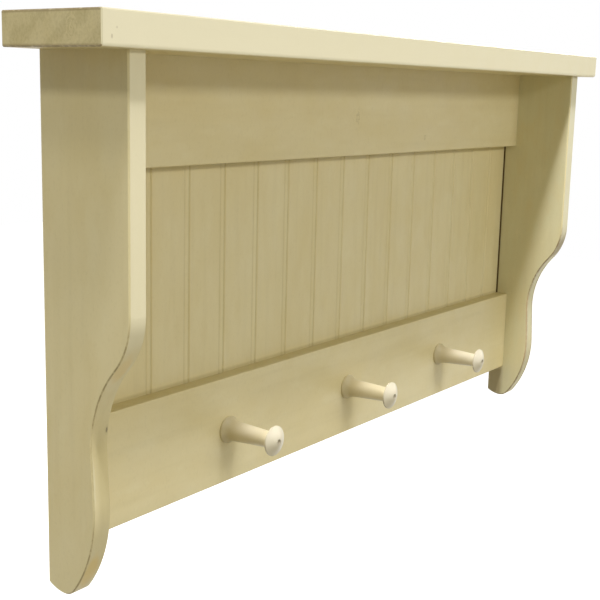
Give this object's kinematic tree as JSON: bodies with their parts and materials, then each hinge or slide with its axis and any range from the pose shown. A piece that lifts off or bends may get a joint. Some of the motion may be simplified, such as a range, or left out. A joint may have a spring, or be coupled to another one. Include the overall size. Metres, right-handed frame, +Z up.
{
  "type": "peg rail with shelf",
  "caption": "Painted wooden wall shelf on scrolled end panels, with a beadboard back and turned coat pegs on its lower rail.",
  "frame": {"origin": "midway between the two keyholes, on the plane of the wall", "axes": "+X along the shelf to the right as seen from the front, +Y into the wall, +Z up"},
  "size_m": [0.914, 0.106, 0.4755],
  "materials": {
    "shelf_paint": "satin cream paint over pine, a little worn",
    "panel_paint": "satin cream paint, rubbed through on the scroll's edges",
    "rail_paint": "satin cream paint over pine",
    "beadboard_paint": "satin cream paint over beaded board",
    "peg_paint": "satin cream paint on turned wood",
    "plug_paint": "satin cream paint, flush with the shelf",
    "bare_wood": "bare hardwood",
    "hanger_steel": "zinc plated",
    "screw_steel": "yellow zinc plated",
    "brad_steel": "bright wire"
  },
  "bodies": {
    "root": {"shelf_board": "shelf_paint", "left_end_panel": "panel_paint", "right_end_panel": "panel_paint", "top_rail": "rail_paint", "peg_rail": "rail_paint", "beadboard_panel": "beadboard_paint", "left_peg": "peg_paint", "middle_peg": "peg_paint", "right_peg": "peg_paint", "rail_dowels": "bare_wood", "shelf_screws": "screw_steel", "shelf_plugs": "plug_paint", "left_hanger_plate": "hanger_steel", "right_hanger_plate": "hanger_steel", "hanger_screws": "screw_steel", "beadboard_brads": "brad_steel"}
  },
  "joints": []
}
